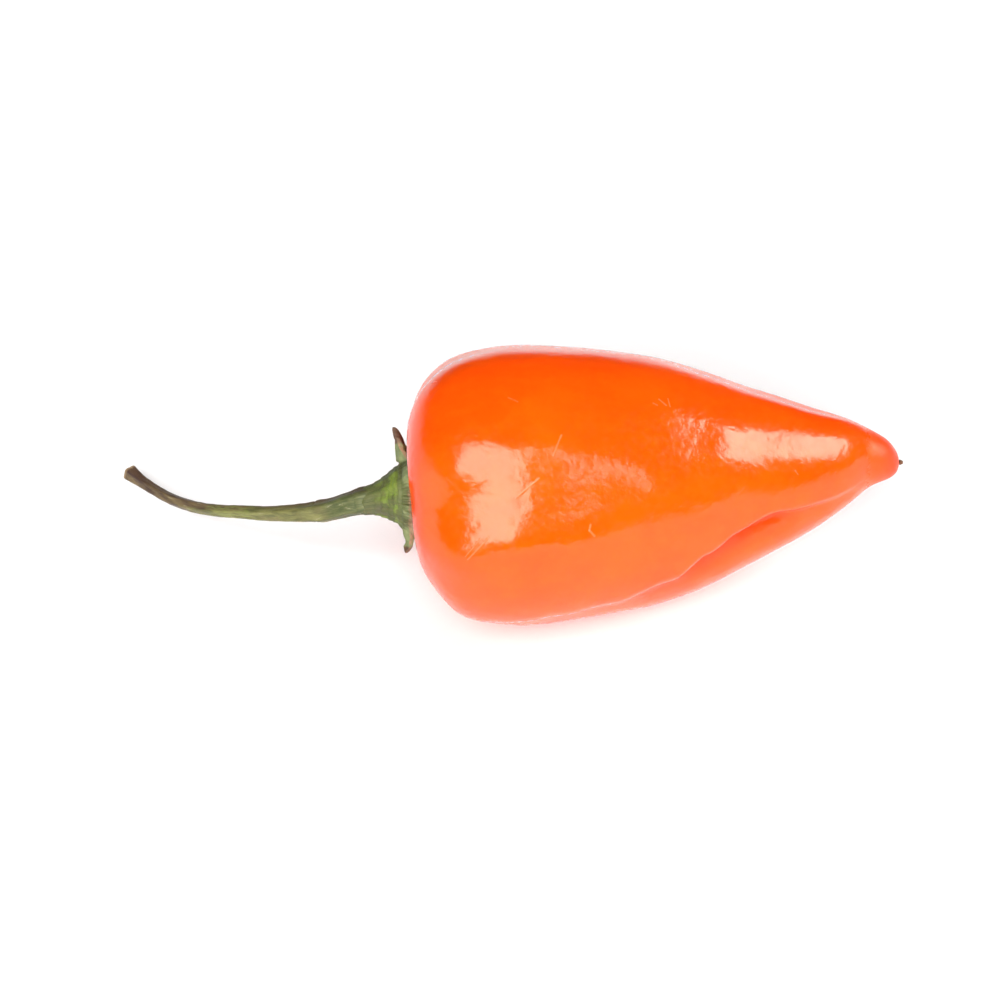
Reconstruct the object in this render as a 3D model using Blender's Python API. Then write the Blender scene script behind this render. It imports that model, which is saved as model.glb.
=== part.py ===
"""An orange habanero chilli pepper, as picked, lying on its side on a flat surface.

Four pieces: the pod, the calyx that caps its wide end, the stem, and the dried style
point at the tip. The pod runs along +X from calyx to tip, -Y is the near side, +Z is up.
The origin is the middle of the whole pepper's footprint, on the surface it lies on.
Run it with: blender --background --python part.py
"""

import math

import bmesh
import bpy
from mathutils import Vector
from mathutils.bvhtree import BVHTree

MM = 0.001

# Driving dimensions
POD_LENGTH = 50.2 * MM
POD_RADIUS = 14.4 * MM
GAP = 0.3 * MM
POD_SIDES = 64
POD_RINGS = 54
CALYX_SIDES = 72

# The pod's outline from the dimple under the calyx to the tip:
# (distance along the pod / POD_LENGTH, radius / POD_RADIUS).
POD_OUTLINE = [
    (0.028, 0.0), (0.020, 0.21), (0.004, 0.39), (0.006, 0.54), (0.035, 0.73),
    (0.091, 0.905), (0.162, 0.985), (0.247, 1.0), (0.336, 0.972), (0.435, 0.924),
    (0.524, 0.861), (0.603, 0.764), (0.692, 0.625), (0.790, 0.486), (0.879, 0.340),
    (0.939, 0.201), (0.976, 0.111), (0.996, 0.042), (1.0, 0.0),
]

# The pod's centre line in millimetres: it sags and swings away towards the tip.
POD_AXIS = [
    (0.0, -0.15, 14.45), (10.0, 0.0, 14.4), (20.0, 1.5, 13.6), (30.0, 2.8, 13.1),
    (40.0, 4.2, 13.1), (47.0, 6.1, 13.0), (50.2, 6.4, 12.2),
]

# How far the wide end leans back per millimetre of height, and where that fades out.
BASE_LEAN = 0.12
BASE_LEAN_ENDS = 0.15

# How far the dimple under the calyx sits off the centre line (y, z), in millimetres. Its
# pull on the wide end fades out at this radius, and at this share of the length.
DIMPLE_SHIFT = (-0.8, -0.4)
DIMPLE_RADIUS = 10.5 * MM
DIMPLE_ENDS = 0.15

# Furrows between the lobes: half width in degrees, then (distance along / POD_LENGTH,
# angle round the pod, depth in mm). Angle 0 is the near side, 90 the top, 180 the back.
# Within FURROW_FADE of the centre line they die out, so that the poles stay smooth.
FURROW_FADE = 4.3 * MM
FURROWS = {
    "front": (15, [(0.0, 36, 0.9), (0.15, 36, 0.65), (0.35, 35, 0.3), (0.5, 35, 0.0)]),
    "underside": (13, [(0.0, -42, 0.3), (0.2, -46, 0.2), (0.42, -36, 0.5), (0.54, -26, 0.8),
                       (0.64, -13, 1.15), (0.73, -2, 1.3), (0.81, -8, 0.75), (0.89, -14, 0.35),
                       (0.95, -10, 0.0)]),
    "top": (12, [(0.0, 118, 0.8), (0.2, 121, 0.3), (0.45, 122, 0.15), (0.62, 120, 0.4),
                 (0.8, 118, 0.35), (0.93, 118, 0.0)]),
    "back": (18, [(0.0, 202, 1.0), (0.25, 200, 0.8), (0.6, 206, 0.35), (0.82, 210, 0.0)]),
}

# The belly that the pod rests on: a low swelling on the underside.
BELLY_ANGLE = -88
BELLY_HALF_WIDTH = 38
BELLY_SWELL = [(0.15, 0.0), (0.36, 0.35), (0.5, 0.6), (0.62, 0.7), (0.78, 0.2), (0.9, 0.0)]

# The calyx: a funnel, with a thin skirt of teeth that lies on the pod's shoulders.
# The funnel's outline is (radius, distance before the pod's end), in millimetres.
CALYX_FUNNEL = [(1.5, 3.9), (1.7, 3.25), (2.05, 2.5), (2.65, 1.5), (3.2, 0.55), (3.6, -0.3)]
CALYX_RINGS = (1.5, 1.7, 2.05, 2.65, 3.1, 3.5)
# How far the funnel sinks per millimetre that it stands out.
CALYX_DROOP = 0.17
CALYX_SKIRT = 0.45 * MM
# Each tooth is (angle round the calyx, reach past the rim in mm, half width in degrees).
CALYX_TEETH = [
    (130, 3.3, 10), (72, 1.3, 15), (12, 1.8, 13), (-48, 1.6, 12), (-108, 2.0, 13), (-168, 1.5, 15),
]

# The stem's route, relative to the middle of the dimple's mouth: x, y, z and radius, in mm.
STEM_ROUTE = [
    (-4.3, 0.0, -0.7, 1.34), (-4.9, 0.05, -0.9, 1.24), (-5.9, 0.25, -1.5, 1.15),
    (-9.0, 1.6, -3.6, 1.04), (-13.7, 4.0, -5.9, 0.75), (-17.6, 6.7, -7.9, 0.7),
    (-20.3, 8.8, -9.2, 0.7), (-22.9, 11.4, -10.4, 0.65), (-25.5, 14.4, -11.5, 0.6),
    (-28.2, 17.9, -12.4, 0.64), (-29.6, 19.6, -12.7, 0.84),
]
STEM_ROUNDNESS = 4
STEM_STEPS = 5

STYLE_RADIUS = 0.3 * MM
STYLE_LENGTH = 0.6 * MM

MATERIALS = {
    "pod_skin": ((0.95, 0.16, 0.005), 0.22),
    "calyx_green": ((0.16, 0.24, 0.03), 0.55),
    "stem_green": ((0.13, 0.13, 0.04), 0.65),
    "dry_brown": ((0.16, 0.06, 0.02), 0.8),
}


def clear_scene():
    for obj in list(bpy.data.objects):
        bpy.data.objects.remove(obj, do_unlink=True)


def material(name):
    colour, roughness = MATERIALS[name]
    made = bpy.data.materials.new(name)
    made.use_nodes = True
    shader = made.node_tree.nodes["Principled BSDF"]
    shader.inputs["Base Color"].default_value = (*colour, 1.0)
    shader.inputs["Roughness"].default_value = roughness
    shader.inputs["Metallic"].default_value = 0.0
    return made


def catmull(points, steps):
    """Points on a smooth curve through the given ones, with steps to each stretch."""
    padded = [points[0], *points, points[-1]]
    made = []
    for i in range(len(points) - 1):
        a, b, c, d = (Vector(p) for p in padded[i:i + 4])
        for k in range(steps):
            t = k / steps
            made.append(
                0.5 * (2 * b + (c - a) * t + (2 * a - 5 * b + 4 * c - d) * t ** 2
                       + (3 * b - a - 3 * c + d) * t ** 3)
            )
    made.append(Vector(points[-1]))
    return made


def eased(rows, at):
    """The values of rows at a place, eased between neighbours. A row's first number is its place."""
    if at <= rows[0][0]:
        return rows[0][1:]
    for before, after in zip(rows, rows[1:]):
        if at <= after[0]:
            t = (at - before[0]) / (after[0] - before[0])
            t = t * t * (3 - 2 * t)
            return tuple(p + (q - p) * t for p, q in zip(before[1:], after[1:]))
    return rows[-1][1:]


def bump(angle, middle, half_width):
    """1 where angle meets middle, falling off smoothly to either side. All in degrees."""
    turn = (angle - middle + 180) % 360 - 180
    return math.exp(-((turn / half_width) ** 2))


AXIS_LINE = [point * MM for point in catmull(POD_AXIS, 8)]


def axis_at(x):
    """The pod's centre line at a distance along it, in metres."""
    for before, after in zip(AXIS_LINE, AXIS_LINE[1:]):
        if x <= after.x:
            return before.lerp(after, max(0.0, (x - before.x) / (after.x - before.x)))
    return AXIS_LINE[-1]


def reshaped(x, radius, angle):
    """Where a point of the plain turned pod goes once it has its lobes, belly and sag."""
    along = x / POD_LENGTH
    share = min(1.0, radius / FURROW_FADE)
    for half_width, rows in FURROWS.values():
        place, depth = eased(rows, along)
        radius -= share * depth * MM * bump(angle, place, half_width)
    swell = eased(BELLY_SWELL, along)[0]
    radius += share * swell * MM * bump(angle, BELLY_ANGLE, BELLY_HALF_WIDTH)
    centre = axis_at(x)
    pull = 0.0
    if along < DIMPLE_ENDS:
        pull = MM * max(0.0, 1 - (radius / DIMPLE_RADIUS) ** 2)
    turn = math.radians(angle)
    lean = BASE_LEAN * max(0.0, 1 - along / BASE_LEAN_ENDS)
    return Vector((
        x - lean * radius * math.sin(turn),
        centre.y + DIMPLE_SHIFT[0] * pull - radius * math.cos(turn),
        centre.z + DIMPLE_SHIFT[1] * pull + radius * math.sin(turn),
    ))


def spun(outline, sides):
    """A bmesh turned about +X from an outline of (x, radius) that starts and ends on the axis."""
    bm = bmesh.new()
    verts = [bm.verts.new((x, -radius, 0.0)) for x, radius in outline]
    edges = [bm.edges.new(pair) for pair in zip(verts, verts[1:])]
    bmesh.ops.spin(
        bm, geom=verts + edges, cent=(0, 0, 0), axis=(1, 0, 0),
        angle=2 * math.pi, steps=sides, use_merge=True,
    )
    bmesh.ops.remove_doubles(bm, verts=bm.verts, dist=0.001 * MM)
    bmesh.ops.recalc_face_normals(bm, faces=bm.faces)
    return bm


def polar(co):
    """(radius, angle) of a point round the X axis, on the furrows' angle scale."""
    return math.hypot(co.y, co.z), math.degrees(math.atan2(co.z, -co.y))


def add_mesh(name, bm, material_name):
    mesh = bpy.data.meshes.new(name)
    bm.to_mesh(mesh)
    mesh.shade_smooth()
    mesh.materials.append(material(material_name))
    obj = bpy.data.objects.new(name, mesh)
    bpy.context.scene.collection.objects.link(obj)
    return obj


def make_pod():
    """The pod as one solid. Returns its object and a tree of its surface to cast rays at."""
    stretches = len(POD_OUTLINE) - 1
    line = catmull([(x, r, 0.0) for x, r in POD_OUTLINE], POD_RINGS // stretches)
    outline = [(p.x * POD_LENGTH, max(0.0, p.y) * POD_RADIUS) for p in line]
    bm = spun(outline, POD_SIDES)
    for vert in bm.verts:
        vert.co = reshaped(vert.co.x, *polar(vert.co))
    # The pod's own weight flattens the belly where it lies.
    cut = bmesh.ops.bisect_plane(
        bm, geom=bm.verts[:] + bm.edges[:] + bm.faces[:], dist=0.0001 * MM,
        plane_co=(0, 0, 0), plane_no=(0, 0, -1), clear_outer=True,
    )
    rim = [e for e in cut["geom_cut"] if isinstance(e, bmesh.types.BMEdge)]
    bmesh.ops.edgeloop_fill(bm, edges=rim)
    bmesh.ops.recalc_face_normals(bm, faces=bm.faces)
    surface = BVHTree.FromBMesh(bm)
    pod = add_mesh("pod", bm, "pod_skin")
    bm.free()
    return pod, surface


def dimple_centre():
    return axis_at(0) + Vector((0, *DIMPLE_SHIFT)) * MM


def make_calyx(surface):
    """The calyx: its underside follows the pod at GAP, and its rim runs out into teeth."""
    centre = dimple_centre()
    inner, rim = CALYX_RINGS[0] * MM, CALYX_RINGS[-1] * MM
    # Two stacked discs, at x = 0 and x = -MM, joined at the rim: the under and the outer side.
    rings = [(0.0, 0.0), *((0.0, r * MM) for r in CALYX_RINGS)]
    bm = spun(rings + [(-MM, r) for _, r in reversed(rings)], CALYX_SIDES)
    for vert in bm.verts:
        is_outer = vert.co.x < 0
        radius, angle = polar(vert.co)
        tooth = sum(reach * bump(angle, middle, width) for middle, reach, width in CALYX_TEETH)
        spread = radius + tooth * MM * max(0.0, (radius - inner) / (rim - inner)) ** 2
        turn = math.radians(angle)
        y = centre.y - spread * math.cos(turn)
        z = centre.z + spread * math.sin(turn)
        on_pod = surface.ray_cast(Vector((-POD_LENGTH, y, z)), Vector((1, 0, 0)))[0]
        x = on_pod.x - GAP
        if is_outer:
            funnel = -eased(CALYX_FUNNEL, radius / MM)[0] * MM
            x = min(x - CALYX_SKIRT, funnel)
            z += CALYX_DROOP * min(0.0, x)
        vert.co = (x, y, z)
    bmesh.ops.recalc_face_normals(bm, faces=bm.faces)
    calyx = add_mesh("calyx", bm, "calyx_green")
    bm.free()
    return calyx


def make_stem():
    """The stem: a tapering tube along its route, ending in the swollen cut end."""
    centre = dimple_centre()
    curve = bpy.data.curves.new("stem", "CURVE")
    curve.dimensions = "3D"
    curve.bevel_depth = 1 * MM
    curve.bevel_resolution = STEM_ROUNDNESS
    curve.use_fill_caps = True
    route = catmull([p[:3] for p in STEM_ROUTE], STEM_STEPS)
    widths = catmull([(p[3], 0.0, 0.0) for p in STEM_ROUTE], STEM_STEPS)
    spline = curve.splines.new("POLY")
    spline.points.add(len(route) - 1)
    for point, place, width in zip(spline.points, route, widths):
        point.co = (*(centre + place * MM), 1.0)
        point.radius = width.x
    curve.materials.append(material("stem_green"))
    stem = bpy.data.objects.new("stem", curve)
    bpy.context.scene.collection.objects.link(stem)
    return stem


def make_style_point():
    """The dried stub of the flower's style, standing on the tip."""
    bm = bmesh.new()
    bmesh.ops.create_cone(
        bm, cap_ends=True, segments=12, radius1=STYLE_RADIUS,
        radius2=0.5 * STYLE_RADIUS, depth=STYLE_LENGTH,
    )
    style = add_mesh("style_point", bm, "dry_brown")
    bm.free()
    tip = reshaped(POD_LENGTH, 0.0, 0.0)
    heading = (axis_at(POD_LENGTH) - axis_at(0.93 * POD_LENGTH)).normalized()
    style.location = tip + heading * (STYLE_LENGTH / 2 + GAP / 2)
    style.rotation_mode = "QUATERNION"
    style.rotation_quaternion = heading.to_track_quat("Z", "Y")
    return style


def stand_on_origin(pieces):
    """Parents the pieces to an empty that puts the middle of their footprint at the origin."""
    pepper = bpy.data.objects.new("pepper", None)
    bpy.context.scene.collection.objects.link(pepper)
    bpy.context.view_layer.update()
    graph = bpy.context.evaluated_depsgraph_get()
    corners = []
    for piece in pieces:
        seen = piece.evaluated_get(graph)
        mesh = seen.to_mesh()
        corners += [piece.matrix_world @ v.co for v in mesh.vertices]
        seen.to_mesh_clear()
        piece.parent = pepper
    for k in (0, 1):
        pepper.location[k] = -(min(p[k] for p in corners) + max(p[k] for p in corners)) / 2


def main():
    clear_scene()
    pod, surface = make_pod()
    stand_on_origin([pod, make_calyx(surface), make_stem(), make_style_point()])


main()
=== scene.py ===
# An orange habanero chilli pepper as picked, lying on its side on a pale floor in soft studio light.
import math

import bpy
import numpy as np
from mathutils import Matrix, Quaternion, Vector, noise
from mathutils.bvhtree import BVHTree


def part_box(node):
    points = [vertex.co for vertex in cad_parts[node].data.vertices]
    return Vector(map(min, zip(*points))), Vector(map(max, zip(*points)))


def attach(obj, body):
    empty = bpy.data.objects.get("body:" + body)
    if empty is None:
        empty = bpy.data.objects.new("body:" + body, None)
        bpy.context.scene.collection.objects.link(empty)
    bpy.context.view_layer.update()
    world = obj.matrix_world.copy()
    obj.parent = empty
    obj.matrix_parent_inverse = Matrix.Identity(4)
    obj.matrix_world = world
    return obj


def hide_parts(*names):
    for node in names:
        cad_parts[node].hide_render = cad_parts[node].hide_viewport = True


mm = 0.001  # the pieces' dictionaries are in millimetres and degrees, Blender is in metres

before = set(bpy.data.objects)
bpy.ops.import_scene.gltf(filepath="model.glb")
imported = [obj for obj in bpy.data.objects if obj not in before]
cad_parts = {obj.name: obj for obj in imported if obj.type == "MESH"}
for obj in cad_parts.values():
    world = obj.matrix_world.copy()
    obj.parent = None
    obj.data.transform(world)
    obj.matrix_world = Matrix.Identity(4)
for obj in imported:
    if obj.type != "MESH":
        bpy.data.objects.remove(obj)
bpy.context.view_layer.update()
bpy.ops.object.select_all(action="DESELECT")
print("frame loaded")


def eased(rows, at, column=1):  # a column of rows at some places, eased; each row starts with its place
    places = np.array([row[0] for row in rows], float)
    values = np.array([row[column] for row in rows], float)
    after = np.clip(np.searchsorted(places, at, side="right"), 1, len(rows) - 1)
    share = np.clip((at - places[after - 1]) / (places[after] - places[after - 1]), 0, 1)
    share = share * share * (3 - 2 * share)
    return values[after - 1] + (values[after] - values[after - 1]) * share


def smoothLine(points, steps):  # a smooth curve through the points, with steps to each stretch
    points = np.array(points, float)
    padded = np.vstack([points[:1], points, points[-1:]])
    line = []
    for i in range(len(points) - 1):
        a, b, c, d = padded[i:i + 4]
        for t in np.arange(steps) / steps:
            line.append(0.5 * (2 * b + (c - a) * t + (2 * a - 5 * b + 4 * c - d) * t ** 2
                               + (3 * b - a - 3 * c + d) * t ** 3))
    return np.array(line + [points[-1]])


def lineAt(line, at):  # the y and z of a line at some x, where its first column rises all the way
    return np.interp(at, line[:, 0], line[:, 1]), np.interp(at, line[:, 0], line[:, 2])


def turnFrom(turn, middle):  # degrees from middle to turn, the short way round
    return (turn - middle + 180) % 360 - 180


def swell(distance, reach):  # 1 where the distance is 0, falling off smoothly to either side
    return np.exp(-(distance / reach) ** 2)


def hump(turn, middle, halfWidth):  # the same round the axis
    return swell(turnFrom(turn, middle), halfWidth)


def easedCorner(value, ease):  # max(0, value) with its corner eased
    most = 40  # keeps the exponential from overflowing
    return ease * np.log1p(np.exp(np.clip(value / ease, -most, most)))


def noiseAt(points, size, seed=0.0):  # smooth noise of about -1 to 1 whose lumps are size apart
    shift = Vector([step * seed for step in (1.0, 1.7, -2.3)])
    return np.array([noise.noise(Vector(point) / size + shift) for point in points])


def pointsOf(piece):  # the vertices in millimetres
    points = np.empty(len(piece.data.vertices) * 3)
    piece.data.vertices.foreach_get("co", points)
    return points.reshape(-1, 3) / mm


def movePoints(piece, points):
    piece.data.vertices.foreach_set("co", (points * mm).ravel())
    piece.data.update()


def boxOf(node):  # the CAD node's lowest and highest corner in millimetres
    return [np.array(corner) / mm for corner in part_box(node)]


def keepAttribute(piece, name, values):  # one vector on each vertex, for the materials to read
    kept = piece.data.attributes.new(name, "FLOAT_VECTOR", "POINT")
    kept.data.foreach_set("vector", np.ascontiguousarray(values, float).ravel())


def polar(points):  # distance from the X axis and angle round it: 0 is the near side, 90 the top
    radius = np.hypot(points[:, 1], points[:, 2])
    return radius, np.degrees(np.arctan2(points[:, 2], -points[:, 1]))


def unitRows(vectors):
    return vectors / np.linalg.norm(vectors, axis=1)[:, None]


def applyModifier(piece, kind, **settings):
    modifier = piece.modifiers.new(kind.lower(), kind)
    for name, value in settings.items():
        setattr(modifier, name, value)
    bpy.context.view_layer.objects.active = piece
    bpy.ops.object.modifier_apply(modifier=modifier.name)


def mergePole(x):  # draws the selected ring in to one point on the axis
    nearlyShut = 0.01
    bpy.ops.mesh.extrude_region_move(TRANSFORM_OT_translate={"value": (0, 0, 0)})
    bpy.ops.transform.resize(value=(1, nearlyShut, nearlyShut), center_override=(x * mm, 0, 0))
    bpy.ops.mesh.merge(type="CENTER")


def faceOutwards():  # turns the faces of the active piece outwards, and leaves edit mode
    bpy.ops.mesh.select_all(action="SELECT")
    bpy.ops.mesh.normals_make_consistent(inside=False)
    bpy.ops.object.mode_set(mode="OBJECT")


# A closed body turned about X. Its outline is rows of (x, radius) that start and end on the axis.
def turned(name, outline, sides, smoothing):
    (startX, _), (x, radius), *rest = outline[:-1]
    bpy.ops.mesh.primitive_circle_add(
        vertices=sides, radius=radius * mm, location=(x * mm, 0, 0), rotation=(0, math.pi / 2, 0)
    )
    piece = bpy.context.object
    piece.name = name
    bpy.ops.object.transform_apply(location=True, rotation=True, scale=True)
    bpy.ops.object.mode_set(mode="EDIT")
    bpy.ops.mesh.select_mode(type="VERT")
    bpy.ops.mesh.select_all(action="SELECT")
    for nextX, nextRadius in rest:
        bpy.ops.mesh.extrude_region_move(TRANSFORM_OT_translate={"value": ((nextX - x) * mm, 0, 0)})
        grow = nextRadius / radius
        bpy.ops.transform.resize(value=(1, grow, grow), center_override=(nextX * mm, 0, 0))
        x, radius = nextX, nextRadius
    mergePole(x)
    bpy.ops.mesh.select_all(action="DESELECT")
    bpy.ops.object.mode_set(mode="OBJECT")
    for vertex in piece.data.vertices[:sides]:  # the first ring is still open
        vertex.select = True
    bpy.ops.object.mode_set(mode="EDIT")
    mergePole(startX)
    faceOutwards()
    applyModifier(piece, "SUBSURF", levels=smoothing, render_levels=smoothing)
    bpy.ops.object.shade_smooth()
    return piece


class Value:  # a number, a vector or a colour in a shader; a number takes part in sums
    def __init__(self, finish, socket):
        self.finish = finish
        self.socket = socket

    def __add__(self, other):
        return self.finish.node("Math", {"operation": "ADD"}, {0: self, 1: other})

    def __sub__(self, other):
        return self.finish.node("Math", {"operation": "SUBTRACT"}, {0: self, 1: other})

    def __rsub__(self, other):
        return self.finish.node("Math", {"operation": "SUBTRACT"}, {0: other, 1: self})

    def __mul__(self, other):
        return self.finish.node("Math", {"operation": "MULTIPLY"}, {0: self, 1: other})

    __radd__ = __add__
    __rmul__ = __mul__


class Finish:  # a material, and the one way its nodes are made
    def __init__(self, name, fixed):
        self.material = bpy.data.materials.new(name)
        self.material.use_nodes = True
        self.tree = self.material.node_tree
        self.shader = self.tree.nodes["Principled BSDF"]
        for socket, value in fixed.items():
            self.shader.inputs[socket].default_value = value

    def put(self, socket, given):
        if isinstance(given, Value):
            self.tree.links.new(given.socket, socket)
        elif socket.type == "RGBA":
            socket.default_value = (*given, 1.0)
        else:
            socket.default_value = given

    def node(self, kind, settings, sockets, outlet=0):
        made = self.tree.nodes.new("ShaderNode" + kind)
        for name, value in settings.items():
            setattr(made, name, value)
        for name, given in sockets.items():
            self.put(made.inputs[name], given)
        return Value(self, made.outputs[outlet])

    def attribute(self, name):
        return self.node("Attribute", {"attribute_name": name}, {}, "Vector")

    def place(self):
        return self.node("TexCoord", {}, {}, "Object")

    def stretched(self, vector, factors):
        return self.node("VectorMath", {"operation": "MULTIPLY"}, {0: vector, 1: factors})

    def parts(self, vector):
        split = self.node("SeparateXYZ", {}, {0: vector})
        return [Value(self, outlet) for outlet in split.socket.node.outputs]

    def noise(self, vector, scale, detail=2.0, roughness=0.5):
        return self.node("TexNoise", {}, {"Vector": vector, "Scale": scale, "Detail": detail,
                                          "Roughness": roughness})

    def between(self, value, low, high):  # 0 at low, 1 at high, eased
        return self.node("MapRange", {"interpolation_type": "SMOOTHSTEP"},
                         {"Value": value, "From Min": low, "From Max": high})

    def mix(self, factor, first, second):
        return self.node("Mix", {"data_type": "RGBA"}, {0: factor, 6: first, 7: second}, 2)

    def line(self, vector, start, end, reach):  # 1 along a straight line on the skin, 0 from reach on
        start, end = Vector(start), Vector(end)
        offset = self.node("VectorMath", {"operation": "SUBTRACT"}, {0: vector, 1: start})
        heading = (end - start) / (end - start).length_squared
        share = self.node("VectorMath", {"operation": "DOT_PRODUCT"}, {0: offset, 1: heading}, "Value")
        held = self.node("Clamp", {}, {0: share})
        onLine = self.node("VectorMath", {"operation": "SCALE"}, {0: end - start, "Scale": held})
        away = self.node("VectorMath", {"operation": "DISTANCE"}, {0: offset, 1: onLine}, "Value")
        return self.between(away, reach, 0.0)

    def bump(self, height, depth):  # depth is in millimetres
        return self.node("Bump", {}, {"Height": height, "Distance": depth * mm, "Strength": 1.0})

    def finished(self, varied):
        for socket, given in varied.items():
            self.put(self.shader.inputs[socket], given)
        return self.material


def dress(piece, material, node):  # the last steps for every piece
    piece.data.materials.clear()
    piece.data.materials.append(material)
    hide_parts(node)
    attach(piece, "root")
    print(piece.name, "made:", len(piece.data.polygons), "faces")


# The pod. It is turned straight along X from 0, then shaped and moved into the frame.
# "Along" is the distance along it / its length, and an angle goes from the near side up.
pod = {
    "length": 50.2,
    "radius": 14.4,
    "sides": 80,
    "steps": 4,  # rings to each stretch of the outline
    "smoothing": 2,
    # (along, radius / radius), from the dimple under the calyx to the tip
    "outline": [
        (0.034, 0.0), (0.028, 0.21), (0.016, 0.39), (0.018, 0.54), (0.042, 0.73),
        (0.091, 0.905), (0.162, 0.985), (0.247, 1.0), (0.336, 0.972), (0.435, 0.924),
        (0.524, 0.861), (0.603, 0.764), (0.692, 0.625), (0.790, 0.486), (0.879, 0.335),
        (0.940, 0.203), (0.976, 0.138), (0.993, 0.082), (0.999, 0.034), (1.0, 0.0),
    ],
    # the centre line, which sags and swings away towards the tip
    "axis": [
        (0.0, -0.15, 14.45), (10.0, 0.0, 14.4), (20.0, 1.5, 13.6), (30.0, 2.8, 13.1),
        (40.0, 4.2, 13.1), (47.0, 6.1, 13.0), (50.2, 6.4, 12.2),
    ],
    "axisSteps": 8,
    "lean": 0.12,  # how far the wide end leans back for each millimetre of height
    "leanEnds": 0.15,  # along
    "dimpleShift": (-0.8, -0.4),  # the dimple sits off the centre line, in y and z
    "dimpleRadius": 10.5,
    "dimpleEnds": 0.15,  # along
    "furrowFade": 4.3,  # all the shaping fades out within this radius of the axis
    # half width above and below, then (along, angle, depth)
    "furrows": {
        "front": (17, 17, [(0.0, 31, 1.1), (0.08, 31, 1.15), (0.2, 35, 0.85), (0.35, 36, 0.6),
                           (0.5, 35, 0.0)]),
        "top": (12, 12, [(0.0, 118, 0.8), (0.2, 121, 0.3), (0.45, 122, 0.15), (0.62, 120, 0.4),
                         (0.8, 118, 0.35), (0.93, 118, 0.0)]),
        "back": (18, 18, [(0.0, 202, 1.0), (0.25, 200, 0.8), (0.6, 206, 0.35), (0.82, 210, 0.0)]),
        "left": (13, 13, [(0.0, -50, 0.45), (0.12, -52, 0.3), (0.25, -50, 0.0)]),
    },
    # the fold on the near side: (along, angle of its lip, depth)
    "fold": [
        (0.10, -37, 0.0), (0.22, -33, 0.35), (0.30, -30, 0.6), (0.415, -27, 0.85),
        (0.53, -18, 1.4), (0.60, -8, 2.1), (0.66, 1, 2.5), (0.726, 7, 2.0), (0.80, 4, 0.9),
        (0.87, 0, 0.3), (0.93, -2, 0.0),
    ],
    "foldWidth": 9,  # degrees from the lip down to the deepest part
    "foldEdge": 1.8,  # how rounded the lip is, in degrees
    "foldLip": 0.05,  # how far the skin above the lip swells, for each millimetre of depth
    "foldLipAbove": 4,
    "foldLipHalfWidth": 5,
    "foldWaver": 1.6,  # how far the lip wanders, in degrees
    "foldWaverLength": 2.2,
    "bellyAngle": -88,
    "bellyHalfWidth": 38,
    "bellySwell": [(0.15, 0.0), (0.36, 0.35), (0.5, 0.6), (0.62, 0.7), (0.78, 0.2), (0.9, 0.0)],
    # low swellings and hollows: (x, angle, reach along, reach round, height)
    "lumps": [
        (46.9, 5, 0.9, 60, -0.24), (44.5, 20, 1.6, 60, 0.08), (26, 80, 4.5, 22, 0.14),
        (14.2, 47, 1.3, 6, -0.06), (5.5, 6, 3, 9, 0.50), (10, 15, 3, 9, 0.32), (17, 15, 3, 9, 0.2),
        (18, 48, 5, 24, 0.30), (32.3, 50, 2.6, 30, 0.36), (33, 95, 4, 18, -0.10),
        (8, 75, 4, 18, 0.10), (30, 22, 5, 14, 0.06),
    ],
    # lumps all over: (size, height)
    "unevenness": [(9.0, 0.09), (3.4, 0.034), (1.5, 0.014)],
    "floorEasing": 0.25,  # the pod's weight flattens its belly where it meets the floor
    "floorReach": 2.0,
}

podAxis = smoothLine(pod["axis"], pod["axisSteps"])


def foldDepth(turn, lip, depth):  # steep just under the lip, then easing out down the side
    place = easedCorner(-turnFrom(turn, lip), pod["foldEdge"]) / pod["foldWidth"]
    return depth * place * np.exp(1 - place)


def shapedRadius(points, rough):  # the pod's radius with its furrows, fold, belly and lumps
    x = points[:, 0]
    along = x / pod["length"]
    radius, turn = polar(points)
    change = np.zeros(len(x))
    for above, below, rows in pod["furrows"].values():
        middle = eased(rows, along)
        width = np.where(turnFrom(turn, middle) > 0, above, below)
        change -= eased(rows, along, 2) * hump(turn, middle, width)
    lip, depth = eased(pod["fold"], along), eased(pod["fold"], along, 2)
    onAxis = np.column_stack([x, 0 * x, 0 * x])
    lip = lip + pod["foldWaver"] * noiseAt(onAxis, pod["foldWaverLength"], 6)
    change -= foldDepth(turn, lip, depth)
    change += pod["foldLip"] * depth * hump(turn, lip + pod["foldLipAbove"], pod["foldLipHalfWidth"])
    change += eased(pod["bellySwell"], along) * hump(turn, pod["bellyAngle"], pod["bellyHalfWidth"])
    if rough:
        for lumpX, lumpTurn, reachX, reachTurn, height in pod["lumps"]:
            change += height * swell(x - lumpX, reachX) * hump(turn, lumpTurn, reachTurn)
        for seed, (size, height) in enumerate(pod["unevenness"]):
            change += height * noiseAt(points, size, seed + 1)
    return radius + np.minimum(1, radius / pod["furrowFade"]) * change


def podShape(points, rough):  # the straight turned pod shaped, bent to its centre line and set down
    along = points[:, 0] / pod["length"]
    radius, turn = shapedRadius(points, rough), polar(points)[1]
    pull = np.where(along < pod["dimpleEnds"], 1 - (radius / pod["dimpleRadius"]) ** 2, 0)
    pull = np.maximum(0, pull)
    lean = pod["lean"] * np.maximum(0, 1 - along / pod["leanEnds"])
    up, near = np.sin(np.radians(turn)), np.cos(np.radians(turn))
    centreY, centreZ = lineAt(podAxis, points[:, 0])
    shiftY, shiftZ = pod["dimpleShift"]
    height = centreZ + shiftZ * pull + radius * up
    settled = easedCorner(height, pod["floorEasing"])
    return np.column_stack([
        points[:, 0] - lean * radius * up,
        centreY + shiftY * pull - radius * near,
        np.where(height < pod["floorReach"], settled, height),
    ])


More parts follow.
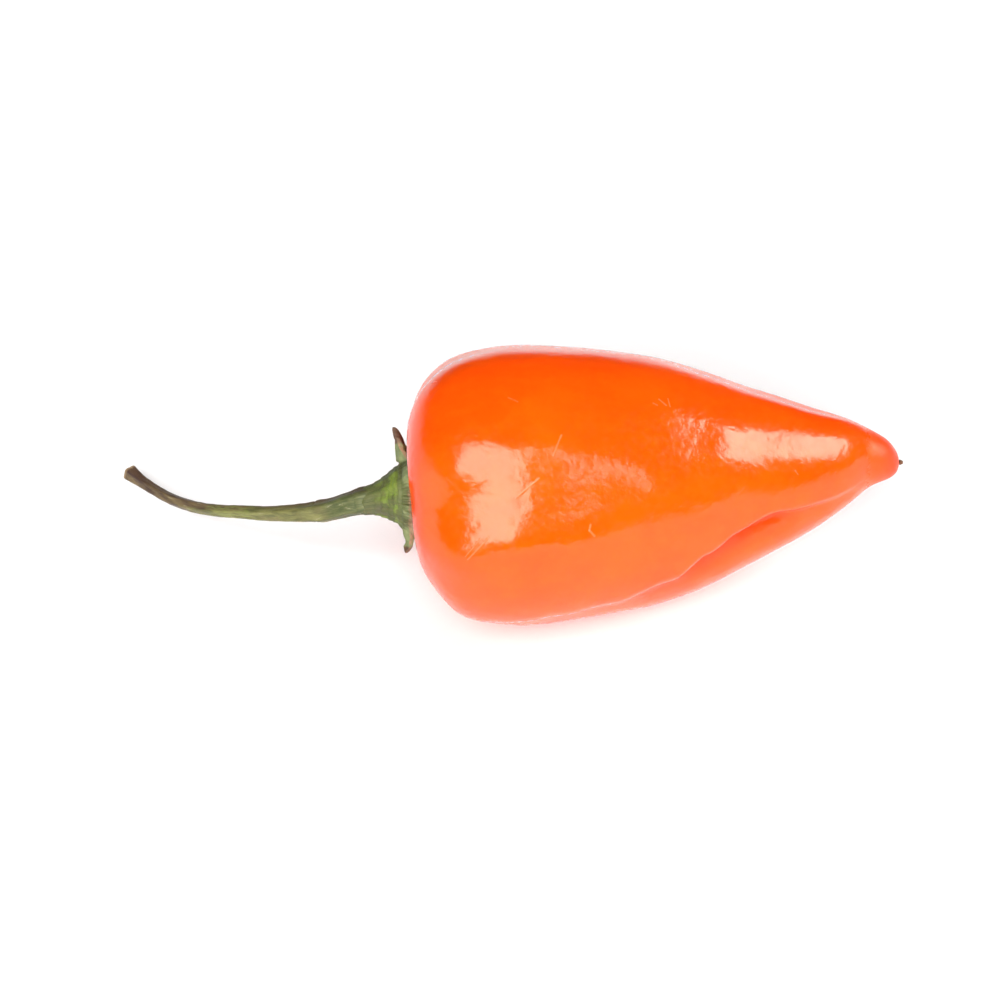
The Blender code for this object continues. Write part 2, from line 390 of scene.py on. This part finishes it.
def makePod():
    line = smoothLine([(along, share, 0) for along, share in pod["outline"]], pod["steps"])
    outline = [(along * pod["length"], max(0, share) * pod["radius"]) for along, share, _ in line]
    piece = turned("pod_skin", outline, pod["sides"], pod["smoothing"])
    plain = pointsOf(piece)
    _, turn = polar(plain)
    along = plain[:, 0] / pod["length"]
    # the fold's depth, kept on the skin for the painted shade in the fold
    crease = foldDepth(turn, eased(pod["fold"], along), eased(pod["fold"], along, 2))
    keepAttribute(piece, "straight", plain)
    keepAttribute(piece, "skin", np.column_stack([plain[:, 0], turn, crease]))
    low, high = boxOf("pod")
    smooth = podShape(plain, rough=False)
    toFrame = np.array([high[0] - pod["length"], low[1] - smooth[:, 1].min(), 0])
    movePoints(piece, podShape(plain, rough=True) + toFrame)
    return piece, toFrame


podLooks = {
    "skin": (0.93, 0.070, 0.0006),
    "lighterSkin": (0.95, 0.086, 0.0008),
    "patches": (0.96, 0.098, 0.0012),
    "ends": (0.86, 0.040, 0.0008),
    "paintedFoldShade": (0.80, 0.036, 0.0015),
    "scratch": (0.95, 0.30, 0.12),
    "gloss": 0.125,  # the roughness where the skin is smoothest
    "bumpDepth": 0.05,
    "rippleAngle": (0.85, 0.5),  # how the fine ripples run, along and round
    "ripples": 14.6,  # radians of ripple to a millimetre
    "girth": 0.22,  # millimetres of skin to a degree, about, where the marks are
    # each is from (x, angle) to (x, angle), then the width and how strong it is
    "scratches": [
        ((13.2, 42.5), (10.9, 34.7), 0.13, 0.9), ((15.4, 59.7), (14.6, 51.6), 0.15, 0.9),
        ((8.2, 18.5), (6.2, 8.7), 0.12, 0.8), ((7.4, 17.6), (6.0, 9.8), 0.10, 0.7),
        ((18.3, 22.2), (18.2, 20.0), 0.16, 1.0), ((18.2, 20.0), (18.7, 17.5), 0.16, 1.0),
        ((25.2, 79.0), (25.9, 76.0), 0.14, 1.0), ((26.1, 80.0), (26.3, 75.5), 0.12, 0.8),
        ((24.6, 76.5), (25.0, 75.6), 0.16, 0.7), ((10.2, 77.0), (11.1, 75.0), 0.16, 0.5),
        ((3.3, 101.0), (3.8, 97.0), 0.12, 0.6), ((39.0, 39.5), (39.3, 36.0), 0.12, 0.6),
        ((20.0, 150.0), (22.5, 146.0), 0.14, 0.7), ((33.0, 170.0), (31.5, 163.0), 0.12, 0.6),
    ],
}


def podFinish():
    looks = podLooks
    finish = Finish("pod_skin", {
        "Metallic": 0.0, "IOR": 1.45, "Subsurface Weight": 0.12, "Subsurface Scale": 1.2 * mm,
        "Subsurface Radius": (1.0, 0.3, 0.08),
    })
    straight = finish.attribute("straight")
    skin = finish.attribute("skin")
    x, _, crease = finish.parts(skin)
    flat = finish.stretched(skin, (1.0, looks["girth"], 0.0))  # the skin laid flat
    _, across, _ = finish.parts(flat)
    cloud = finish.noise(straight, 0.13, 3.0, 0.55)
    patch = finish.noise(straight, 0.55, 4.0, 0.6)
    colour = finish.mix(finish.between(cloud, 0.35, 0.68), looks["skin"], looks["lighterSkin"])
    colour = finish.mix(finish.between(patch, 0.42, 0.75) * 0.4, colour, looks["patches"])
    atEnds = finish.between(x, 46.5, 50.0) + finish.between(x, 3.0, 0.5)
    colour = finish.mix(atEnds * 0.75, colour, looks["ends"])
    # painted shade: the skin turns a darker red deep in the fold, where less light reaches
    colour = finish.mix(finish.between(crease, 0.4, 2.2) * 0.75, colour, looks["paintedFoldShade"])
    scratched = 0.0
    for start, end, width, strength in looks["scratches"]:
        route = [(markX, markTurn * looks["girth"], 0) for markX, markTurn in (start, end)]
        scratched = finish.line(flat, *route, width) * strength + scratched
    colour = finish.mix(scratched * 0.28, colour, looks["scratch"])
    grain = finish.noise(straight, 1.0)
    mottle = finish.noise(straight, 1.7, 3.0)
    pores = finish.noise(straight, 4.5)
    wobble = finish.noise(straight, 0.8)
    rippleX, rippleAcross = looks["rippleAngle"]
    phase = (x * rippleX + across * rippleAcross + wobble * 0.6) * looks["ripples"]
    ripple = finish.node("Math", {"operation": "SINE"}, {0: phase})
    rippled = finish.between(finish.noise(straight, 0.22), 0.46, 0.6)
    dullTip = finish.between(x, 46.2, 47.6) * 0.22
    roughness = finish.between(mottle, 0.35, 0.7) * 0.12 + looks["gloss"] + scratched * 0.25 + dullTip
    height = grain + mottle * 0.3 + pores * 0.06 + ripple * rippled * 0.01 + scratched * 0.3
    return finish.finished({"Base Color": colour, "Roughness": roughness,
                            "Normal": finish.bump(height, looks["bumpDepth"])})


podPiece, toFrame = makePod()
dress(podPiece, podFinish(), "pod")
podSurface = BVHTree.FromObject(podPiece, bpy.context.evaluated_depsgraph_get())


# The calyx: a funnel round the stem that spreads into a thin skirt with teeth, which lies on the pod.
# It is turned as a flat disc, whose outer side is at x = -1 and whose inner side is at 0.
calyx = {
    "sides": 120,
    "smoothing": 2,
    "rings": (0.7, 1.15, 1.42, 1.6, 1.8, 2.05, 2.35, 2.65, 2.85, 3.0, 3.1, 3.2, 3.3, 3.4, 3.5),
    # (radius, how far it stands off the pod's end)
    "funnel": [
        (0.7, 4.6), (1.2, 4.9), (1.42, 4.4), (1.65, 3.3), (1.95, 2.6), (2.4, 1.85), (2.75, 1.35),
        (3.0, 0.9), (3.15, 0.45), (3.6, -0.6),
    ],
    "droop": 0.26,  # how far the funnel sinks towards the stem, for each millimetre off the pod
    "droopFrom": 1.2,
    "skirtFrom": 3.0,
    "skirt": 0.3,  # its thickness, which thins to the tips
    "skirtThinning": 0.6,
    "gap": 0.04,
    "ribs": 11,
    "ribHeight": 0.09,
    "ribTurn": 0.7,  # radians
    "ribFade": [(1.3, 0.0), (1.8, 1.0), (2.8, 1.0), (3.2, 0.0)],  # (radius, share of the height)
    # (angle, reach past the rim, half width, how far the tip lifts)
    "teeth": [
        (128, 2.8, 28, 1.9), (72, 1.3, 26, 0.3), (14, 0.9, 24, 0.3), (-46, 2.1, 28, 1.6),
        (-108, 1.9, 24, 0.4), (-168, 1.6, 26, 0.5),
    ],
    "toothSides": 1.1,  # 1 is straight, more is rounder
    "toothSpread": 1.2,
    "raggedness": 0.4,
}


def calyxCentre():
    y, z = lineAt(podAxis, np.array([0.0]))
    shiftY, shiftZ = pod["dimpleShift"]
    return np.array([0, y[0] + shiftY, z[0] + shiftZ]) + toFrame


def teethAt(turn):  # how far the teeth reach past the rim, and how far they lift
    onCircle = np.column_stack([np.cos(np.radians(turn)), np.sin(np.radians(turn)), 0 * turn])
    tooth, lift = np.zeros(len(turn)), np.zeros(len(turn))
    for middle, reach, halfWidth, tipLift in calyx["teeth"]:
        beside = np.abs(turnFrom(turn, middle) / halfWidth)
        outline = np.maximum(0, 1 - beside ** calyx["toothSides"])
        tooth += reach * outline
        lift += tipLift * outline
    ragged = noiseAt(onCircle, 0.14, 3) + 0.6 * noiseAt(onCircle, 0.05, 5)
    tooth = tooth * (1 + 0.5 * ragged) + calyx["raggedness"] * ragged
    return tooth, lift * (1 + 0.5 * noiseAt(onCircle, 0.2, 8))


def podUnder(y, z):  # the x where the pod's end is met from outside
    towards = Vector((1, 0, 0))
    start = -2 * pod["length"]
    hits = [podSurface.ray_cast(Vector((start, a, b)) * mm, towards)[0] for a, b in zip(y, z)]
    return np.array([hit.x / mm for hit in hits])


def calyxShape(points):
    centre = calyxCentre()
    radius, turn = polar(points)
    outer = np.clip(-points[:, 0], 0, 1)  # 1 on the outer side, 0 on the inner
    inner, rim = calyx["skirtFrom"], calyx["rings"][-1]
    out = np.clip((radius - inner) / (rim - inner), 0, 1)
    tooth, lift = teethAt(turn)
    reached = tooth * out ** calyx["toothSpread"]
    y = centre[1] - (radius + reached) * np.cos(np.radians(turn))
    z = centre[2] + (radius + reached) * np.sin(np.radians(turn))
    thick = calyx["skirt"] * (1 - calyx["skirtThinning"] * out)
    tip = np.clip((out - 0.75) / 0.25, 0, 1)
    curl = np.minimum(1, out / 0.12) * (1 - 0.4 * out) + 0.35 * tip ** 2
    skirt = podUnder(y, z) - (calyx["gap"] + lift * curl * (0.7 + 0.3 * outer) + thick * outer)
    ribs = calyx["ribHeight"] * np.cos(np.radians(turn) * calyx["ribs"] + calyx["ribTurn"])
    ribs *= eased(calyx["ribFade"], radius)
    funnel = toFrame[0] - eased(calyx["funnel"], radius) - ribs
    x = np.minimum(skirt, funnel) * outer + skirt * (1 - outer)
    z = z + calyx["droop"] * outer * np.minimum(0, x - toFrame[0] + calyx["droopFrom"])
    return np.column_stack([x, y, z]), np.column_stack([reached, turn, radius])


def makeCalyx():
    rings = calyx["rings"]
    outline = [(-1, 0.0), *((-1, r) for r in rings), *((0, r) for r in reversed(rings)), (0, 0.0)]
    piece = turned("calyx_cap", outline, calyx["sides"], calyx["smoothing"])
    shaped, skin = calyxShape(pointsOf(piece))
    keepAttribute(piece, "skin", skin)
    movePoints(piece, shaped)
    return piece


# each pair is the darker and the lighter of a mottled colour
calyxLooks = {
    "green": ((0.065, 0.078, 0.020), (0.115, 0.15, 0.026)),
    "ribs": (0.10, 0.10, 0.032),
    "bright": (0.16, 0.23, 0.024),
    "skirt": ((0.060, 0.066, 0.020), (0.10, 0.12, 0.04)),
    "corky": (0.085, 0.075, 0.045),
    "neck": ((0.058, 0.068, 0.020), (0.100, 0.110, 0.036)),
    "leaf": ((0.13, 0.16, 0.06), (0.24, 0.26, 0.11)),
    "dry": (0.11, 0.055, 0.032),
    "margin": ((0.17, 0.095, 0.050), (0.30, 0.185, 0.10)),
    "bumpDepth": 0.06,
}


def calyxFinish():
    looks = calyxLooks
    finish = Finish("calyx_green", {"Metallic": 0.0, "IOR": 1.45})
    place = finish.place()
    skin = finish.attribute("skin")
    reached, turn, radius = finish.parts(skin)
    cloud = finish.noise(place, 700.0, 4.0, 0.6)
    fine = finish.noise(place, 3500.0, 3.0, 0.6)
    ribs = finish.noise(finish.stretched(skin, (0.0, 0.22, 0.25)), 1.0, 3.0, 0.6)
    colour = finish.mix(finish.between(cloud, 0.40, 0.62), *looks["green"])
    colour = finish.mix(finish.between(ribs, 0.45, 0.65) * 0.6, colour, looks["ribs"])
    ring = finish.between(radius, 1.9, 2.3) * finish.between(radius, 3.1, 2.8)
    colour = finish.mix(finish.between(cloud, 0.45, 0.6) * ring * 0.65, colour, looks["bright"])
    skirt = finish.mix(finish.between(cloud, 0.35, 0.65), *looks["skirt"])
    colour = finish.mix(finish.between(radius, 2.85, 3.1) * 0.8, colour, skirt)
    corky = finish.between(radius + (cloud - 0.5) * 2.0, 2.1, 1.5) * finish.between(turn, 30.0, 5.0)
    colour = finish.mix(corky * finish.between(turn, -85.0, -60.0) * 0.8, colour, looks["corky"])
    neck = finish.mix(finish.between(ribs, 0.4, 0.6), *looks["neck"])
    colour = finish.mix(finish.between(radius + cloud * 0.5, 2.15, 1.75) * 0.8, colour, neck)
    leaf = finish.mix(finish.between(cloud, 0.35, 0.65), *looks["leaf"])
    colour = finish.mix(finish.between(reached, 0.2, 0.5), colour, leaf)
    colour = finish.mix(finish.between(reached + cloud * 0.8, 2.1, 2.4), colour, looks["dry"])
    margin = finish.mix(finish.between(fine, 0.25, 0.7), *looks["margin"])
    atMargin = finish.between(radius - reached * 0.05 + (fine - 0.5) * 0.15, 3.37, 3.43)
    colour = finish.mix(atMargin, colour, margin)
    return finish.finished({"Base Color": colour, "Roughness": fine * 0.2 + 0.5,
                            "Normal": finish.bump(fine + ribs * 1.5, looks["bumpDepth"])})


calyxPiece = makeCalyx()
dress(calyxPiece, calyxFinish(), "calyx")


# The stem. It is turned straight along X, then bent along its route from the calyx outwards.
stem = {
    "sides": 40,
    "steps": 12,
    "smoothing": 1,
    # from the middle of the calyx: x, y, z and radius
    "route": [
        (-3.2, 0.0, -0.5, 1.30), (-4.3, 0.0, -0.75, 1.38), (-4.9, 0.05, -1.0, 1.34),
        (-5.9, 0.25, -1.5, 1.22), (-9.0, 1.6, -3.6, 1.05), (-13.7, 4.0, -5.9, 0.77),
        (-17.6, 6.7, -7.9, 0.66), (-20.3, 8.7, -9.35, 0.62), (-22.9, 11.0, -10.7, 0.59),
        (-25.5, 13.7, -11.8, 0.58), (-28.2, 17.0, -12.6, 0.62), (-29.7, 18.9, -12.8, 0.86),
    ],
    "ridges": 5,
    "ridgeHeight": 0.07,  # as a share of the radius
    "ridgeTwist": 2.5,  # degrees to a millimetre
    "crackAt": 7.3,  # a fine crack round the stem, with a swollen node just before it
    "crackDepth": 0.10,
    "crackReach": 0.09,
    "crackWaver": 0.2,
    "nodeBefore": 0.6,
    "nodeHeight": 0.09,
    "nodeReach": 0.9,
    "dentSize": 0.9,
    "dentHeight": 0.035,
}


def stemRadius(plain, lengths, radii):
    x = plain[:, 0]
    radius, turn = polar(plain)
    ridges = stem["ridgeHeight"] * np.cos(np.radians(turn + stem["ridgeTwist"] * x) * stem["ridges"])
    node = stem["nodeHeight"] * swell(x - stem["crackAt"] + stem["nodeBefore"], stem["nodeReach"])
    waver = stem["crackWaver"] * np.sin(np.radians(3 * turn))
    crack = stem["crackDepth"] * swell(x - stem["crackAt"] - waver, stem["crackReach"])
    dents = stem["dentHeight"] * noiseAt(plain, stem["dentSize"], 2)
    return radius * (1 + ridges) + (node - crack + dents) * radius / np.interp(x, lengths, radii)


def makeStem():
    line = smoothLine(stem["route"], stem["steps"])
    places, radii = line[:, :3], line[:, 3]
    lengths = np.r_[0, np.cumsum(np.linalg.norm(np.diff(places, axis=0), axis=1))]
    outline = [(lengths[0], 0.0), *zip(lengths, radii), (lengths[-1], 0.0)]
    piece = turned("stem_stalk", outline, stem["sides"], stem["smoothing"])
    plain = pointsOf(piece)
    x = plain[:, 0]
    _, turn = polar(plain)
    keepAttribute(piece, "straight", plain)
    keepAttribute(piece, "skin", np.column_stack([x, turn, 0 * x]))
    centre = np.column_stack([np.interp(x, lengths, places[:, k]) for k in range(3)])
    headings = unitRows(np.gradient(places, axis=0))
    heading = unitRows(np.column_stack([np.interp(x, lengths, headings[:, k]) for k in range(3)]))
    up = unitRows(np.array([0, 0, 1.0]) - heading * heading[:, 2:3])
    near = np.cross(up, heading)
    radius = stemRadius(plain, lengths, radii)
    sine, cosine = np.sin(np.radians(turn)), np.cos(np.radians(turn))
    shaped = centre + (radius * sine)[:, None] * up + (radius * cosine)[:, None] * near
    movePoints(piece, shaped + calyxCentre())
    bpy.ops.object.mode_set(mode="EDIT")
    faceOutwards()  # running towards -X with the same side near turned it inside out
    return piece, lengths[-1]


# each pair is the darker and the lighter of a streaked colour
stemLooks = {
    "green": ((0.090, 0.090, 0.028), (0.205, 0.195, 0.064)),
    "patches": (0.14, 0.105, 0.052),
    "fresh": ((0.055, 0.068, 0.020), (0.100, 0.112, 0.036)),
    "aged": ((0.052, 0.029, 0.020), (0.17, 0.118, 0.055)),
    "agedTop": (0.055, 0.026, 0.022),
    # the colour of the painted highlight along the stem
    "bright": (0.21, 0.24, 0.055),
    "topStreaks": (0.085, 0.045, 0.028),
    "pale": (0.34, 0.31, 0.20),
    "cutEnd": (0.30, 0.20, 0.11),
    "bumpDepth": 0.10,
}


def stemFinish(length):
    looks = stemLooks
    finish = Finish("stem_green", {"Metallic": 0.0, "IOR": 1.45})
    straight = finish.attribute("straight")
    x, turn, _ = finish.parts(finish.attribute("skin"))
    streak = finish.noise(finish.stretched(straight, (0.35, 2.4, 2.4)), 1.0, 4.0, 0.65)
    cloud = finish.noise(finish.stretched(straight, (0.5, 0.8, 0.8)), 1.0, 3.0, 0.6)
    fibre = finish.noise(finish.stretched(straight, (0.8, 7.0, 7.0)), 1.0, 3.0, 0.6)
    green = finish.mix(finish.between(streak, 0.36, 0.64), *looks["green"])
    green = finish.mix(finish.between(cloud, 0.5, 0.7) * 0.6, green, looks["patches"])
    fresh = finish.mix(finish.between(fibre, 0.4, 0.6), *looks["fresh"])
    green = finish.mix(finish.between(x, 7.0, 4.0), green, fresh)
    aged = finish.mix(finish.between(streak, 0.36, 0.64), *looks["aged"])
    upper = finish.between(turn, 15.0, 50.0) * finish.between(turn, 175.0, 150.0)
    age = finish.between(x + (cloud - 0.5) * 9.0 + upper * 6.0, 20.0, 29.0)
    colour = finish.mix(age, green, aged)
    colour = finish.mix(finish.between(x, 30.0, 34.0) * upper * 0.7, colour, looks["agedTop"])
    patchyX = x + cloud * 4.0
    # painted highlight: a lighter yellow-green band, streaked by the fibres, about 16 to 25 mm along
    bright = finish.between(patchyX, 16.0, 18.5) * finish.between(patchyX, 25.0, 22.0)
    colour = finish.mix(bright * finish.between(fibre, 0.42, 0.6) * 0.6, colour, looks["bright"])
    top = finish.between(turn, 60.0, 110.0) * finish.between(turn, 175.0, 140.0)
    colour = finish.mix(top * finish.between(streak, 0.35, 0.55) * 0.8, colour, looks["topStreaks"])
    pale = finish.between(streak + (fibre - 0.5) * 0.6, 0.66, 0.74)
    colour = finish.mix(pale * 0.6, colour, looks["pale"])
    colour = finish.mix(finish.between(x, length - 0.45, length - 0.1), colour, looks["cutEnd"])
    height = (streak + fibre * 0.5) * -1.0  # the paler streaks lie lower
    return finish.finished({"Base Color": colour, "Roughness": streak * 0.2 + 0.42,
                            "Normal": finish.bump(height, looks["bumpDepth"])})


stemPiece, stemLength = makeStem()
dress(stemPiece, stemFinish(stemLength), "stem")


# The dried style point, a brown stub at the pod's tip.
stylePoint = {
    "sides": 16,
    "smoothing": 1,
    "outline": [
        (0.0, 0.0), (0.0, 0.27), (0.1, 0.28), (0.2, 0.22), (0.3, 0.21), (0.4, 0.12), (0.42, 0.0),
    ],
    "crumple": 0.04,
    "crumpleSize": 0.15,
    "sunk": 0.05,  # into the pod, past the CAD solid's foot
    "colours": ((0.07, 0.024, 0.010), (0.20, 0.085, 0.034)),
    "bumpDepth": 0.03,
}


def makeStylePoint():
    piece = turned("style_tip", stylePoint["outline"], stylePoint["sides"], stylePoint["smoothing"])
    low, high = boxOf("style_point")
    plain = pointsOf(piece)
    crumple = np.column_stack([noiseAt(plain, stylePoint["crumpleSize"], k + 4) for k in range(3)])
    foot = np.array([low[0] - stylePoint["sunk"], (low[1] + high[1]) / 2, (low[2] + high[2]) / 2])
    movePoints(piece, plain + stylePoint["crumple"] * crumple + foot)
    return piece


def styleFinish():
    finish = Finish("dry_brown", {"Metallic": 0.0})
    speck = finish.noise(finish.place(), 6000.0, 3.0)
    colour = finish.mix(speck, *stylePoint["colours"])
    return finish.finished({"Base Color": colour, "Roughness": speck * 0.2 + 0.65,
                            "Normal": finish.bump(speck, stylePoint["bumpDepth"])})


dress(makeStylePoint(), styleFinish(), "style_point")


# The floor, the lights and the camera, in metres and degrees.
studio = {
    "floorSize": 8.0,
    "floorColour": (0.86, 0.86, 0.86),
    "floorGlow": 0.13,
    "worldStrength": 0.02,
    "elevation": 40.0,
    "lens": 180.0,  # millimetres, as the sensor is
    "sensor": 36.0,
    "frameWidth": 0.102,
    "target": (-0.001, 0.0, 0.0105),
    "farthest": 20.0,
    "lightDistance": 1.2,
    "white": (1.0, 1.0, 1.0),
    "glossTint": (1.0, 0.98, 0.84),
    # degrees right of the camera, up, wide, high and rolled, then the radiance on matt and in gloss
    "lights": {
        "key": (-15, 38, 50, 40, 0, 6.8, 9.8),
        "side": (95, 32, 33, 21, 15, 8.5, 11.5),
        "window": (37, 36, 6, 26, 0, 3.0, 6.5),
        "front": (5, 22, 40, 32, 0, 3.8, 0.0),
        "back": (190, 50, 50, 50, 0, 1.0, 0.0),
    },
}


def aim(obj, place, target, roll=0.0):
    obj.location = place
    rolled = Quaternion((0, 0, 1), math.radians(roll))
    obj.rotation_euler = ((Vector(target) - place).to_track_quat("-Z", "Y") @ rolled).to_euler()


def placeAt(azimuth, elevation, distance):
    a, e = math.radians(azimuth), math.radians(elevation)
    around = Vector((math.sin(a) * math.cos(e), -math.cos(a) * math.cos(e), math.sin(e)))
    return Vector(studio["target"]) + around * distance


def makeFloor():
    bpy.ops.mesh.primitive_plane_add(size=studio["floorSize"])
    floor = bpy.context.object
    floor.name = "floor"
    finish = Finish("floor_white", {
        "Roughness": 0.85, "Specular IOR Level": 0.2, "Emission Color": (1, 1, 1, 1),
        "Emission Strength": studio["floorGlow"],
    })
    floor.data.materials.append(finish.finished({"Base Color": studio["floorColour"]}))


def makeWorld():
    world = bpy.data.worlds.new("studio")
    bpy.context.scene.world = world
    world.use_nodes = True
    background = world.node_tree.nodes["Background"]
    background.inputs["Color"].default_value = (*studio["white"], 1.0)
    background.inputs["Strength"].default_value = studio["worldStrength"]


# Each light is one panel for matt surfaces and one in the same place that only gloss reflects.
def makeLight(name, azimuth, elevation, wide, high, roll, radiance, inGloss):
    bpy.ops.object.light_add(type="AREA")
    light = bpy.context.object
    light.name = name + ("_gloss" if inGloss else "_matt")
    away = studio["lightDistance"]
    light.data.shape = "RECTANGLE"
    light.data.size = 2 * away * math.tan(math.radians(wide / 2))
    light.data.size_y = 2 * away * math.tan(math.radians(high / 2))
    light.data.energy = radiance * math.pi * light.data.size * light.data.size_y
    light.data.color = studio["glossTint"] if inGloss else studio["white"]
    light.visible_glossy = inGloss
    light.visible_diffuse = not inGloss
    light.data.cycles.use_multiple_importance_sampling = inGloss
    aim(light, placeAt(azimuth, elevation, away), studio["target"], roll)


def makeCamera():
    bpy.ops.object.camera_add()
    camera = bpy.context.object
    camera.data.lens = studio["lens"]
    camera.data.sensor_width = studio["sensor"]
    camera.data.clip_end = studio["farthest"]
    distance = studio["frameWidth"] * studio["lens"] / studio["sensor"]
    aim(camera, placeAt(0, studio["elevation"], distance), studio["target"])
    bpy.context.scene.camera = camera


makeFloor()
makeWorld()
for name, (*panel, onMatt, onGloss) in studio["lights"].items():
    for radiance, inGloss in ((onMatt, False), (onGloss, True)):
        if radiance > 0:
            makeLight(name, *panel, radiance, inGloss)
makeCamera()
bpy.context.scene.view_settings.view_transform = "Standard"
print("studio ready")
